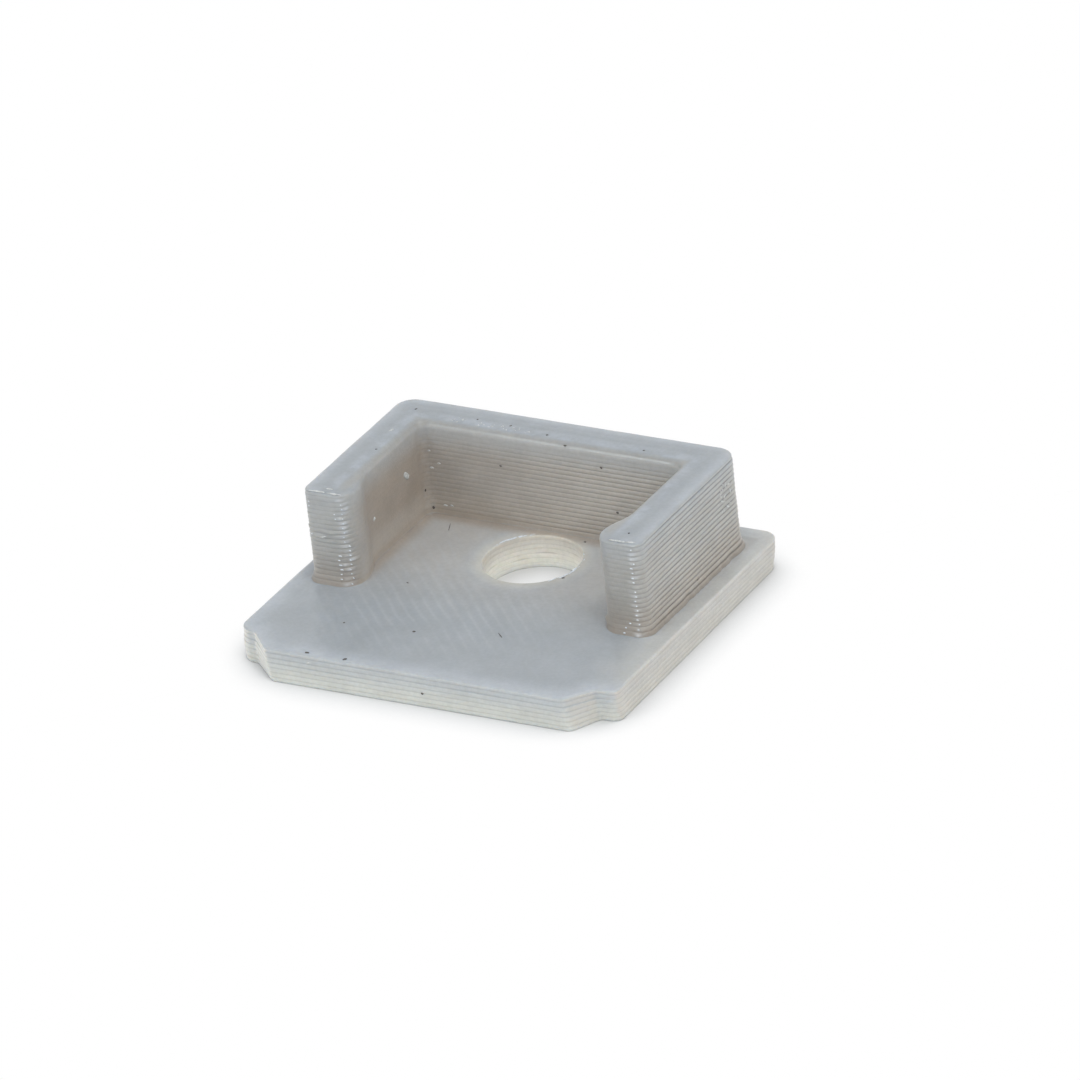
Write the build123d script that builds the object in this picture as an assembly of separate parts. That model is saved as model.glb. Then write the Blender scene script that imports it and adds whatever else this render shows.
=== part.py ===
from build123d import *
import os

# Profile end cap, printed in one piece: a flat cover plate with a cable hole, carrying a U-shaped
# wall that plugs into the open end of an aluminium profile.
# Units are millimetres. The plate lies on z = 0 with +Z up, the origin is at the middle of its
# footprint, and +Y points to the closed back of the U, which is open towards -Y.

# Layers of the print, each a bead whose side bulges by seam_depth between two seams
layer_height = 0.2
plate_layers = 7
wall_layers = 20
seam_depth = 0.035

# U-shaped wall, measured over its outer faces
wall_width = 14.8
wall_depth = 8.2
arm_thickness = 1.6
back_thickness = 1.7
wall_outer_radius = 0.8
wall_inner_radius = 0.4

# Arm ends, which swell inwards with a smooth double curve and are rounded off
swell = 0.4
swell_start = 2.3
swell_full = 0.95
tip_outer_radius = 0.45
tip_inner_radius = 0.75

# Foot of the wall, where the first layers are squeezed wider
foot_width = 0.16
foot_layers = 3

# Cover plate, given as the lips that it leaves round the wall
side_lip = 0.95
back_lip = 1.1
front_apron = 5.4
back_corner_radius = 0.8

# Stepped front corners of the plate
shoulder_width = 0.85
shoulder_radius = 0.5
nose_chamfer_width = 1.0
nose_chamfer_depth = 1.1

# Cable hole, set in front of the foot of the back wall
hole_diameter = 3.9
hole_gap = 0.1

# Sizes and places that follow from the ones above
plate_width = wall_width + 2 * side_lip
plate_depth = front_apron + wall_depth + back_lip
plate_thickness = plate_layers * layer_height
wall_back_y = plate_depth / 2 - back_lip
wall_front_y = wall_back_y - wall_depth
inner_back_y = wall_back_y - back_thickness
inner_x = wall_width / 2 - arm_thickness
hole_y = inner_back_y - foot_width - hole_gap - hole_diameter / 2


def mirrored_outline(half):
    """Closed face from the right-hand half of an outline that starts and ends on x = 0."""
    edges = [*half, *(mirror(edge, about=Plane.YZ) for edge in half)]
    return make_face(Wire(Wire.combine(edges)[0].edges()))


def rounded(face, x, y, radius):
    """Round the two corners of a face that lie at plus and minus x."""
    places = [Vector(side * x, y) for side in (-1, 1)]
    return fillet([face.vertices().sort_by_distance(place)[0] for place in places], radius)


def wall_outline():
    """Plan of the U."""
    outer_x = wall_width / 2
    tip_x = inner_x - swell
    swell_low = (tip_x, wall_front_y + swell_full)
    swell_middle = (inner_x - swell / 2, wall_front_y + (swell_full + swell_start) / 2)
    swell_high = (inner_x, wall_front_y + swell_start)
    outside = Polyline(
        (0, wall_back_y),
        (outer_x, wall_back_y),
        (outer_x, wall_front_y),
        (tip_x, wall_front_y),
        swell_low,
    )
    double_curve = [
        TangentArc(swell_low, swell_middle, tangent=(0, 1)),
        TangentArc(swell_high, swell_middle, tangent=(0, -1)),
    ]
    inside = Polyline(swell_high, (inner_x, inner_back_y), (0, inner_back_y))
    face = mirrored_outline([*outside.edges(), *double_curve, *inside.edges()])
    face = rounded(face, outer_x, wall_back_y, wall_outer_radius)
    face = rounded(face, inner_x, inner_back_y, wall_inner_radius)
    face = rounded(face, outer_x, wall_front_y, tip_outer_radius)
    return rounded(face, tip_x, wall_front_y, tip_inner_radius)


def plate_outline():
    """Plan of the plate: straight sides, rounded back corners and stepped, chamfered front corners."""
    side_x = plate_width / 2
    back_y = plate_depth / 2
    front_y = -plate_depth / 2
    step_x = side_x - shoulder_width
    step_y = front_y + nose_chamfer_depth
    nose_x = step_x - nose_chamfer_width
    half = Polyline(
        (0, back_y),
        (side_x, back_y),
        (side_x, step_y),
        (step_x, step_y),
        (nose_x, front_y),
        (0, front_y),
    )
    face = mirrored_outline(half.edges())
    face = rounded(face, side_x, back_y, back_corner_radius)
    return rounded(face, side_x, step_y, shoulder_radius)


def grown(face, amount):
    """The face with its outline moved outwards by amount, corners kept sharp."""
    return offset(face, amount, kind=Kind.INTERSECTION) if amount else face


def layer(face, on_plate=False):
    """One printed layer. It bulges at half its height and narrows to the seams, except that the one
    squeezed onto the plate stands straight up from it."""
    seam = grown(face, -seam_depth)
    foot = face if on_plate else seam
    return loft([foot, Pos(0, 0, layer_height / 2) * face, Pos(0, 0, layer_height) * seam], ruled=True)


def stack(slab, count, first_z):
    """Equal layers laid one on another from first_z up."""
    return [Pos(0, 0, first_z + level * layer_height) * slab for level in range(count)]


def wall_from(first_z):
    """All layers of the wall: its foot, narrowing upwards, then the plain layers."""
    foot = []
    for level in range(foot_layers):
        grow = foot_width * (1 - level / foot_layers) ** 2
        slab = layer(grown(wall_outline(), grow), on_plate=level == 0)
        foot += stack(slab, 1, first_z + level * layer_height)
    plain_z = first_z + foot_layers * layer_height
    return foot + stack(layer(wall_outline()), wall_layers - foot_layers, plain_z)


def build_end_cap():
    """The whole cap as one solid."""
    slabs = stack(layer(plate_outline()), plate_layers, 0) + wall_from(plate_thickness)
    body = slabs[0].fuse(*slabs[1:])
    bore = Pos(0, hole_y, 0) * extrude(Circle(hole_diameter / 2), 2 * plate_thickness, both=True)
    return body - bore


end_cap = build_end_cap()
end_cap.label = "end_cap"

os.makedirs("parts", exist_ok=True)
export_step(end_cap, "parts/end_cap.step")
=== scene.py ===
import bmesh
import bpy
import math
import numpy as np
from mathutils import Matrix, Vector, kdtree, noise
from mathutils.bvhtree import BVHTree
from mathutils.geometry import delaunay_2d_cdt


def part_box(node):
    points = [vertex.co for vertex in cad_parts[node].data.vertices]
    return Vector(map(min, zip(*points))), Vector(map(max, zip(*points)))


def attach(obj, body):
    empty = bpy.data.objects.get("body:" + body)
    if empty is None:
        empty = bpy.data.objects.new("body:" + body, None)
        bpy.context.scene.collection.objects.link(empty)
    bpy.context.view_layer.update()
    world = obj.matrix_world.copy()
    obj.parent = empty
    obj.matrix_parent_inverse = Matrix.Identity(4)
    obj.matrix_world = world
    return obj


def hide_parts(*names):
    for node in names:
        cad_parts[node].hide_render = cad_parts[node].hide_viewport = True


# Looks of a profile end cap printed in light grey, slightly translucent plastic.
# Sizes are in millimetres until a mesh is written, in the frame of the model: the plate lies on
# z = 0, +Z is up and +Y points to the closed back of the U.
MM = 0.001

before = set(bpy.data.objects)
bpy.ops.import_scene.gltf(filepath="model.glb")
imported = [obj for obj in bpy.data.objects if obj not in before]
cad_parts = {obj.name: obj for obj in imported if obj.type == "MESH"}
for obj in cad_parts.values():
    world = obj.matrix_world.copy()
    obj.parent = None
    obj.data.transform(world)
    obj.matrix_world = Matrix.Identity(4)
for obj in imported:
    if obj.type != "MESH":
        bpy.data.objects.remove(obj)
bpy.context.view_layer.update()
node_low, node_high = (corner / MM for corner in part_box("end_cap"))

# Layers of the print
LAYER = 0.2
PLATE_LAYERS = 7
WALL_LAYERS = 20
SEAM_DEPTH = 0.06

# Plate, from the box of the solid
PLATE_X = node_high.x
PLATE_BACK = node_high.y
PLATE_FRONT = node_low.y
PLATE_TOP = PLATE_LAYERS * LAYER
WALL_TOP = node_high.z
BACK_RADIUS = 0.8
SHOULDER_WIDTH = 0.85
NOSE_CHAMFER = (1.0, 1.1)
NOSE_RADIUS = 0.35

# U-shaped wall, in plan: distance to the plate's edge, depth, thicknesses and radii
SIDE_MARGIN = 0.95
BACK_MARGIN = 1.1
WALL_DEPTH = 8.2
ARM_THICKNESS = 1.6
BACK_THICKNESS = 1.7
WALL_X = PLATE_X - SIDE_MARGIN
WALL_BACK = PLATE_BACK - BACK_MARGIN
WALL_FRONT = WALL_BACK - WALL_DEPTH
ARM_INNER_X = WALL_X - ARM_THICKNESS
BACK_INNER_Y = WALL_BACK - BACK_THICKNESS
TIP_OUTER_RADIUS = 0.45
TIP_INNER_RADIUS = 0.75
INNER_CORNER_RADIUS = 0.4

# The arms thicken inwards near their tips, between these two distances from the tip
SWELL = 0.4
SWELL_START = 2.5
SWELL_FULL = 0.8

# Plastic squeezed out at the foot of the wall. The curve says how quickly it draws in with height
FOOT_WIDTH = 0.16
FOOT_LAYERS = 3
FOOT_CURVE = 1.8
FOOT_CURVE_INSIDE = 6.0
FOOT_LOSS_INSIDE = 0.8

# One lump squeezed out low on the inner side of the right tip
LUMP_SIZE = 0.12
LUMP_WIDTH = 0.28
LUMP_HEIGHT = 0.3
LUMP_SPREAD = 0.16

# Cable hole
HOLE_RADIUS = 1.95
HOLE_GAP = 0.1
HOLE_Y = BACK_INNER_Y - FOOT_WIDTH - HOLE_GAP - HOLE_RADIUS

# Width of one printed line, and where the plate's diagonal lines show most
LINE = 0.42
STREAK_CENTRE = (-2.0, -0.4, 1.4)
STREAK_REACH = 5.4

# Depth of the seams as a share of SEAM_DEPTH, which they have on the wall's outer faces
SEAM_LOSS_AT_TIPS = 0.4
SEAM_LEFT_END = 0.2
SEAM_RIGHT_END = 0.14
SEAM_BACK_LEFT = 0.22
SEAM_BACK_RIGHT = 0.5
SEAM_INNER_ARM = 0.06
SEAM_PLATE = 0.3
SEAM_HOLE = 0.18

# Mesh density
WALL_POINTS = 420
PLATE_POINTS = 360
HOLE_POINTS = 96
TOP_GRID = 0.125
BOTTOM_GRID = 0.5
RIM_CLEARANCE = 0.6
WELD_DISTANCE = 1e-7

# Heights within a layer at which a bead's side is sampled, from seam to seam
BEAD_STEPS = (-1.0, -0.72, -0.38, 0.0, 0.38, 0.72, 1.0)
BEAD_FULLNESS = 0.94

# How the top layers round off: plate, hole, outside of the wall, inside of the U
TOP_STEPS = (0.0, 0.38, 0.72, 0.9, 0.98, 1.0)
PLATE_ROUNDING = 0.13
HOLE_ROUNDING = 0.0325
WALL_ROUNDING = 0.17
INNER_ROUNDING = 0.32
TOP_FALL = 0.02

# Relief of the top faces: printed lines along their rims and across the plate, and soft dips
RIM_RELIEF = 0.012
CROWN_RELIEF = 0.01
DIAGONAL_RELIEF = 0.02
PLATE_DIP = 0.012
CROWN_DIP = 0.02

# Inside the U the seams melt away towards the top, between these depths below it
MELTED_BELOW = (0.15, 1.1)

# How uneven the layers are. Above the fourth, each layer of the plate stands in a little more
PLATE_JITTER = 0.006
WALL_JITTER = 0.007
PLATE_WANDER = 0.02
HOLE_WANDER = 0.07
WALL_WANDER = 0.015
FOOT_WANDER = 0.5
PLATE_LEAN = 0.02
LEANING_FROM = 3
SCAR_BULGE = 0.05
LARGEST_BULGE = 0.05
DROOPING_LAYERS = (9, 10, 11)
DROOP = 0.12
DROOP_BULGE = 0.6

# Where the layers of the wall start: place in plan, how far the starts spread, width of a scar
LAYER_STARTS = (
    ((WALL_X - 0.42, WALL_FRONT), 0.05, 0.11),
    ((-ARM_INNER_X + 0.05, WALL_FRONT + 0.1), 0.09, 0.13),
)

# Places in plan of the layers that droop, on the left arm's end, and of the one lump
LEFT_END = (-ARM_INNER_X - ARM_THICKNESS / 2, WALL_FRONT)
SQUEEZED_LUMP = (ARM_INNER_X - SWELL, WALL_FRONT + 0.5)

# Unevenness of single layers, drawn once
random = np.random.default_rng(7)
plate_jitter = random.normal(0, PLATE_JITTER, PLATE_LAYERS)
wall_jitter = random.normal(0, WALL_JITTER, WALL_LAYERS)


def rounded_path(corners, step=0.01):
    """Dense closed polyline through (x, y, radius) corners, each rounded by its radius."""
    path = []
    count = len(corners)
    for i, (x, y, radius) in enumerate(corners):
        here = Vector((x, y))
        before = Vector(corners[i - 1][:2]) - here
        after = Vector(corners[(i + 1) % count][:2]) - here
        before.normalize()
        after.normalize()
        half = before.angle(after) / 2
        reach = radius / math.tan(half)
        middle = here + (before + after).normalized() * (radius / math.sin(half))
        start = here + before * reach - middle
        turn = start.angle_signed(here + after * reach - middle)
        pieces = max(2, int(abs(turn) * radius / step))
        for k in range(pieces + 1):
            angle = -turn * k / pieces
            path.append(middle + Matrix.Rotation(angle, 2) @ start)
    return np.array([tuple(p) for p in path])


def evenly(path, count):
    """Points at equal distances along a closed polyline, with outward normals and their places."""
    closed = np.vstack([path, path[:1]])
    lengths = np.hypot(*np.diff(closed, axis=0).T)
    run = np.concatenate([[0], np.cumsum(lengths)])
    places = np.arange(count) * run[-1] / count
    points = np.column_stack([np.interp(places, run, closed[:, k]) for k in (0, 1)])
    tangent = np.roll(points, -1, axis=0) - np.roll(points, 1, axis=0)
    tangent /= np.hypot(*tangent.T)[:, None]
    return points, np.column_stack([tangent[:, 1], -tangent[:, 0]]), places


def wall_path():
    """Plan of the U, anticlockwise."""
    length = SWELL_START - SWELL_FULL
    turn = 2 * math.atan(SWELL / length)
    radius = length / 2 / math.sin(turn)
    reach = radius * math.tan(turn / 2)
    right = [
        (WALL_X, WALL_BACK, BACK_RADIUS),
        (WALL_X, WALL_FRONT, TIP_OUTER_RADIUS),
        (ARM_INNER_X - SWELL, WALL_FRONT, TIP_INNER_RADIUS),
        (ARM_INNER_X - SWELL, WALL_FRONT + SWELL_FULL + reach, radius),
        (ARM_INNER_X, WALL_FRONT + SWELL_START - reach, radius),
        (ARM_INNER_X, BACK_INNER_Y, INNER_CORNER_RADIUS),
    ]
    left = [(-x, y, r) for x, y, r in reversed(right)]
    corners = right + left
    return rounded_path(list(reversed(corners)))


def plate_path(level):
    """Plan of the plate, anticlockwise, at a level from 0 at the floor to 1 at the top."""
    step_x = PLATE_X - SHOULDER_WIDTH
    step_y = PLATE_FRONT + NOSE_CHAMFER[1]
    nose_x = step_x - NOSE_CHAMFER[0]
    # Corner at the top, how far it has moved at the floor, and radius
    corners = [
        ((-PLATE_X, PLATE_BACK), (0.0, 0.0), BACK_RADIUS),
        ((-PLATE_X, step_y), (0.05, 0.0), 0.75),
        ((-step_x, step_y - 0.02), (0.05, 0.0), 0.3),
        ((-nose_x, PLATE_FRONT), (0.28, 0.0), NOSE_RADIUS),
        ((nose_x, PLATE_FRONT), (0.3, 0.05), NOSE_RADIUS),
        ((step_x, step_y), (-0.05, 0.18), 0.15),
        ((PLATE_X, step_y), (-0.1, 0.25), 0.35),
        ((PLATE_X, PLATE_BACK), (-0.3, 0.0), BACK_RADIUS),
    ]
    drift = 1 - level
    return rounded_path([(x + dx * drift, y + dy * drift, r) for (x, y), (dx, dy), r in corners])


def bead(t, depth):
    """How far the side of a bead stands back from its widest point, at t from -1 to 1."""
    edge = 1 - math.sqrt(1 - BEAD_FULLNESS ** 2)
    return -depth * (1 - math.sqrt(1 - (BEAD_FULLNESS * t) ** 2)) / edge


def top_edge(t, rounding):
    """How far the upper half of the last layer rounds off towards the top."""
    return -rounding * (1 - math.sqrt(1 - max(t, 0) ** 2))


def rounded_edge(below_top, radius):
    """How far a face has drawn back, at some height below the top, to a rounding of some radius."""
    share = np.clip(1 - below_top / radius, 0, 1)
    return -radius * (1 - np.sqrt(1 - share ** 2))


def smooth_step(value, start, end):
    """Soft change from 0, where value is start, to 1, where it is end."""
    share = np.clip((value - start) / (end - start), 0, 1)
    return share * share * (3 - 2 * share)


def mixed(first, second, share):
    return first + (second - first) * share


class Mesh:
    """Vertices and faces of the one printed body, gathered ring by ring.

    Each vertex also keeps, from 0 to 1, how near it is to an upper edge, which sets a painted sheen,
    how scarred it is by the start of a layer, which sets painted glints, and how deep the seams are
    there, which sets the painted shade in them."""

    def __init__(self):
        self.points = []
        self.faces = []
        self.levels = {"rim": [], "scar": [], "seam": []}

    def add(self, xyz, rim=0.0, scar=0.0, seam=0.0):
        first = len(self.points)
        self.points.extend(map(tuple, xyz))
        for key, level in (("rim", rim), ("scar", scar), ("seam", seam)):
            self.levels[key].extend(np.broadcast_to(level, len(xyz)))
        return np.arange(first, len(self.points))

    def ring(self, points, normals, offset, z, **levels):
        """Add a ring of points, moved out along their normals, at a height."""
        xy = points + normals * np.broadcast_to(offset, len(points))[:, None]
        heights = np.broadcast_to(z, len(points))
        return self.add(np.column_stack([xy, heights]), **levels)

    def strip(self, rings, flip=False):
        """Join rings of equal length with quads."""
        for low, high in zip(rings, rings[1:]):
            a, b = low, np.roll(low, -1)
            c, d = np.roll(high, -1), high
            quads = np.column_stack([d, c, b, a] if flip else [a, b, c, d])
            self.faces.extend(map(tuple, quads.tolist()))

    def xy(self, ring):
        return np.array([self.points[i][:2] for i in ring])


def inside(points, loop):
    """Which points lie inside a closed loop."""
    result = np.zeros(len(points), bool)
    x, y = points.T
    for (x0, y0), (x1, y1) in zip(loop, np.roll(loop, -1, axis=0)):
        crosses = (y0 > y) != (y1 > y)
        if crosses.any():
            edge_x = x0 + (y[crosses] - y0) * (x1 - x0) / (y1 - y0)
            result[crosses] ^= x[crosses] < edge_x
    return result


def between_loops(points, loops):
    """Which points lie inside the first loop and outside the others."""
    result = inside(points, loops[0])
    for loop in loops[1:]:
        result &= ~inside(points, loop)
    return result


def tree_of(points):
    """Search tree for the nearest of some points of the plan."""
    tree = kdtree.KDTree(len(points))
    for i, (x, y) in enumerate(points):
        tree.insert((x, y, 0), i)
    tree.balance()
    return tree


def grid_between(loops, spacing):
    """Points of a triangular grid between loops, clear of the loops' own points."""
    middles = [(loop + np.roll(loop, -1, axis=0)) / 2 for loop in loops]
    tree = tree_of(np.vstack([*loops, *middles]))
    low, high = loops[0].min(0), loops[0].max(0)
    xs = np.arange(low[0], high[0], spacing)
    ys = np.arange(low[1], high[1], spacing * math.sqrt(3) / 2)
    grid_x, grid_y = np.meshgrid(xs, ys)
    grid_x = grid_x + (np.arange(len(ys)) % 2)[:, None] * spacing / 2
    grid = np.column_stack([grid_x.ravel(), grid_y.ravel()])
    clear = np.array([tree.find((x, y, 0))[2] > spacing * RIM_CLEARANCE for x, y in grid])
    return grid[between_loops(grid, loops) & clear]


def loop_edges(loops):
    """Pairs of neighbours round each loop, in one count through all of them."""
    edges = []
    first = 0
    for loop in loops:
        last = first + len(loop) - 1
        edges += [(i, i + 1) for i in range(first, last)]
        edges.append((last, first))
        first = last + 1
    return edges


def fill(mesh, outer, holes, spacing, surface, flip=False):
    """Close a ring, around holes, with a fine triangle net. surface(x, y) gives height and rim."""
    loops = [mesh.xy(ring) for ring in [outer, *holes]]
    grid = grid_between(loops, spacing)
    heights, rims = zip(*(surface(x, y) for x, y in grid))
    new = mesh.add(np.column_stack([grid, heights]), rim=rims)
    index = np.concatenate([outer, *holes, new])
    plan = np.vstack([*loops, grid])
    flat = [Vector(p) for p in plan.tolist()]
    _, _, faces, source, _, _ = delaunay_2d_cdt(flat, loop_edges(loops), [], 1, WELD_DISTANCE)
    corners = np.array([s[0] for s in source])[np.array(faces)]
    kept = between_loops(plan[corners].mean(axis=1), loops)
    triangles = index[corners[kept]]
    if flip:
        triangles = triangles[:, ::-1]
    mesh.faces.extend(map(tuple, triangles.tolist()))


def wander(places, layer, row, size, scale):
    """Smooth uneven line along a ring, different in each layer. Each use has its own row of noise."""
    return np.array([noise.noise(Vector((s / scale, layer * 3.7, row))) for s in places]) * size


def nearest_place(points, places, x, y):
    """Place along a ring that lies nearest to a point of the plan."""
    return places[np.argmin(np.hypot(points[:, 0] - x, points[:, 1] - y))]


def lump(places, total, centre, width):
    """Bump of height 1 along a closed ring."""
    away = np.abs(places - centre)
    away = np.minimum(away, total - away)
    return np.exp(-(away / width) ** 2)


def smoothed(values, count=7):
    """Running mean round a closed ring."""
    side = count // 2
    looped = np.concatenate([values[-side:], values, values[:side]])
    return np.convolve(looped, np.ones(count) / count, "valid")


def layer_steps(layer, last):
    """Heights through one layer. A layer starts on the last ring of the one below."""
    steps = BEAD_STEPS[(layer > 0):]
    if last:
        steps = [t for t in steps if t < 0] + list(TOP_STEPS)
    return steps


def plate_side(mesh):
    """Rings of the plate's edge, from the floor up."""
    rings = []
    for layer in range(PLATE_LAYERS):
        last = layer == PLATE_LAYERS - 1
        for t in layer_steps(layer, last):
            level = (layer + (t + 1) / 2) / PLATE_LAYERS
            points, normals, places = evenly(plate_path(level), PLATE_POINTS)
            uneven = plate_jitter[layer] + wander(places, layer, row=1.5, size=PLATE_WANDER, scale=1.6)
            lean = -PLATE_LEAN * max(0, layer - LEANING_FROM)
            side = top_edge(t, PLATE_ROUNDING) if last and t > 0 else bead(t, SEAM_DEPTH * SEAM_PLATE)
            offset = side + lean + np.minimum(uneven, 0)
            rim = last * max(t, 0)
            z = level * PLATE_TOP - rim * TOP_FALL
            rings.append(mesh.ring(points, normals, offset, z, rim=rim, seam=SEAM_PLATE))
    mesh.strip(rings)
    return rings


def hole_side(mesh):
    """Rings of the cable hole, from the floor up."""
    angles = np.arange(HOLE_POINTS) * 2 * math.pi / HOLE_POINTS
    normals = np.column_stack([np.cos(angles), np.sin(angles)])
    points = normals * HOLE_RADIUS + (0, HOLE_Y)
    rings = []
    for layer in range(PLATE_LAYERS):
        last = layer == PLATE_LAYERS - 1
        uneven = wander(angles * HOLE_RADIUS, layer, row=8.5, size=HOLE_WANDER, scale=0.8)
        for t in layer_steps(layer, last):
            side = bead(t, SEAM_DEPTH * SEAM_HOLE)
            if last and t > 0:
                side = top_edge(t, HOLE_ROUNDING)
            offset = side + (0 if last else np.minimum(uneven, 0))
            rim = last * max(t, 0)
            z = (layer + (t + 1) / 2) * LAYER - rim * TOP_FALL
            rings.append(mesh.ring(points, -normals, offset, z, rim=rim, seam=SEAM_HOLE))
    mesh.strip(rings, flip=True)
    return rings


def faces_u(points, slack=0.05):
    """Which points of the wall's plan are on the faces that look into the U."""
    x, y = points.T
    return (np.abs(x) < ARM_INNER_X + slack) & (y < BACK_INNER_Y + slack)


def inside_u(points):
    """1 on the faces that look into the U, 0 outside it, with a soft change on the tips."""
    inner = faces_u(points) & (points[:, 1] > WALL_FRONT + 0.5)
    return smoothed(inner.astype(float), 13)


def seam_share(points, normals):
    """Depth of the seams round the wall, shallower on the arm ends and inside the U."""
    x, y = points.T
    inner = faces_u(points)
    share = 1 - SEAM_LOSS_AT_TIPS * (1 - smooth_step(y, WALL_FRONT + 0.4, WALL_FRONT + 2.0))
    share = np.where(inner, SEAM_INNER_ARM, share)
    ends = normals[:, 1] < -0.6
    share = np.where(ends, np.where(x < 0, SEAM_LEFT_END, SEAM_RIGHT_END), share)
    back = inner & (y > BACK_INNER_Y - 0.05)
    back_share = mixed(SEAM_BACK_LEFT, SEAM_BACK_RIGHT, smooth_step(x, -4.0, 1.5))
    return smoothed(np.where(back, back_share, share))


def layer_scars(places, total, starts):
    """Marks where one layer starts, from (place along the ring, spread, width)."""
    scars = np.zeros(len(places))
    for place, spread, width in starts:
        strength = random.uniform(0.2, 1)
        scars += strength * lump(places, total, place + random.normal(0, spread), width)
    return scars


def foot_growth(height, ragged, hollow, squeezed):
    """How far the wall stands out near its foot, with the one squeezed-out lump."""
    rise = height / (FOOT_LAYERS * LAYER)
    curve = mixed(FOOT_CURVE, FOOT_CURVE_INSIDE, hollow)
    grow = FOOT_WIDTH * ragged * max(0, 1 - rise) ** curve * (1 - FOOT_LOSS_INSIDE * hollow)
    return grow + squeezed * math.exp(-((height - LUMP_HEIGHT) / LUMP_SPREAD) ** 2)


def wall_side(mesh):
    """Rings of the wall's faces, from the plate up, with the scars where each layer starts."""
    points, normals, places = evenly(wall_path(), WALL_POINTS)
    total = places[1] * len(places)
    starts = [(nearest_place(points, places, *xy), spread, width)
              for xy, spread, width in LAYER_STARTS]
    drooping = lump(places, total, nearest_place(points, places, *LEFT_END), width=1.0)
    lump_place = nearest_place(points, places, *SQUEEZED_LUMP)
    squeezed = LUMP_SIZE * lump(places, total, lump_place, LUMP_WIDTH)
    hollow = inside_u(points)
    share = seam_share(points, normals)
    rounding = mixed(WALL_ROUNDING, INNER_ROUNDING, hollow)
    ragged = 1 - np.abs(wander(places, 0, row=7.5, size=FOOT_WANDER, scale=0.3)) * share
    rings = []
    for layer in range(WALL_LAYERS):
        last = layer == WALL_LAYERS - 1
        uneven = wall_jitter[layer] + wander(places, layer, row=4.5, size=WALL_WANDER, scale=1.3)
        uneven = np.minimum(uneven, 0) * np.maximum(share, 0.1)
        scar = layer_scars(places, total, starts)
        blob = SCAR_BULGE * scar
        droop = 0
        if layer in DROOPING_LAYERS:
            droop = drooping * wander(places, layer, row=6.5, size=DROOP, scale=0.35)
            blob = blob + np.abs(droop) * DROOP_BULGE
        for t in layer_steps(layer, last):
            height = (layer + (t + 1) / 2) * LAYER
            below_top = WALL_LAYERS * LAYER - height
            depth = share * mixed(1, smooth_step(below_top, *MELTED_BELOW), hollow)
            side = 0 if last and t > 0 else bead(t, SEAM_DEPTH) * depth * min(1, height / LAYER)
            side = side + rounded_edge(below_top, rounding)
            body = max(0, 1 - t * t)
            grow = foot_growth(height, ragged, hollow, squeezed)
            offset = np.minimum(grow + side + uneven + blob * body, grow + LARGEST_BULGE)
            rim = last * max(t, 0)
            z = PLATE_TOP + height + droop * body - rim * TOP_FALL
            scarred = 0.5 * np.minimum(scar, 1) * body ** 2
            rings.append(mesh.ring(points, normals, offset, z, rim=rim, scar=scarred, seam=depth))
    mesh.strip(rings)
    return rings


def ridges(distance):
    """Cross section of printed lines side by side: 0 on a line's crest, -1 in the groove."""
    return (math.cos(2 * math.pi * distance / LINE) - 1) / 2


def patchy(x, y, scale, row):
    """Soft patches over the plan, from about -1 to 1."""
    return noise.noise(Vector((x * scale, y * scale, row)))


def diagonal_lines(x, y):
    """Relief of the plate's diagonal lines, which bend a little and fade away from their centre."""
    strength = 0.6 + 0.8 * patchy(x, y, scale=0.35, row=2.2)
    bend = 0.06 * patchy(x, y, scale=0.5, row=3.3)
    away = math.dist((x, y), STREAK_CENTRE[:2])
    fade = math.exp(-(away / STREAK_REACH) ** 2)
    return DIAGONAL_RELIEF * strength * fade * ridges((x + y) / math.sqrt(2) + bend)


def plate_top_surface(rim_tree):
    """Top of the plate: two lines along its rims, diagonal lines between them."""
    def surface(x, y):
        edge = rim_tree.find((x, y, 0))[2]
        fall = -TOP_FALL * math.exp(-edge / 0.2)
        if edge < 2 * LINE:
            relief = RIM_RELIEF * ridges(edge - LINE / 2)
        else:
            relief = diagonal_lines(x, y)
        sag = min(PLATE_DIP * patchy(x, y, scale=0.8, row=5.1), 0)
        return PLATE_TOP + fall + relief + sag, math.exp(-(edge / 0.55) ** 2)
    return surface


def wall_top_surface(rim_tree):
    """Top of the wall: lines along its rims all over."""
    def surface(x, y):
        edge = rim_tree.find((x, y, 0))[2]
        fall = -TOP_FALL * math.exp(-edge / 0.16)
        relief = CROWN_RELIEF * ridges(edge - LINE / 2)
        sag = min(CROWN_DIP * patchy(x, y, scale=1.1, row=9.1), 0)
        return WALL_TOP + fall + relief + sag, math.exp(-(edge / 0.3) ** 2)
    return surface


def printed_body():
    """The whole cap as one closed net of faces."""
    mesh = Mesh()
    plate_rings = plate_side(mesh)
    hole_rings = hole_side(mesh)
    wall_rings = wall_side(mesh)
    rim_tree = tree_of(np.vstack([mesh.xy(plate_rings[-1]), mesh.xy(hole_rings[-1])]))
    plate_surface = plate_top_surface(rim_tree)
    fill(mesh, plate_rings[-1], [hole_rings[-1], wall_rings[0]], TOP_GRID, plate_surface)
    wall_surface = wall_top_surface(tree_of(mesh.xy(wall_rings[-1])))
    fill(mesh, wall_rings[-1], [], TOP_GRID, wall_surface)
    fill(mesh, plate_rings[0], [hole_rings[0]], BOTTOM_GRID, lambda x, y: (0, 0), flip=True)
    return mesh


def mesh_object(name, points, faces, material, **levels):
    """New object from points in millimetres, with its vertex levels as attributes."""
    data = bpy.data.meshes.new(name)
    data.from_pydata([tuple(c * MM for c in p) for p in points], [], faces)
    data.update()
    data.polygons.foreach_set("use_smooth", [True] * len(data.polygons))
    data.materials.append(material)
    for key, values in levels.items():
        data.attributes.new(key, "FLOAT", "POINT").data.foreach_set("value", values)
    obj = bpy.data.objects.new(name, data)
    bpy.context.scene.collection.objects.link(obj)
    return obj


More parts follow.
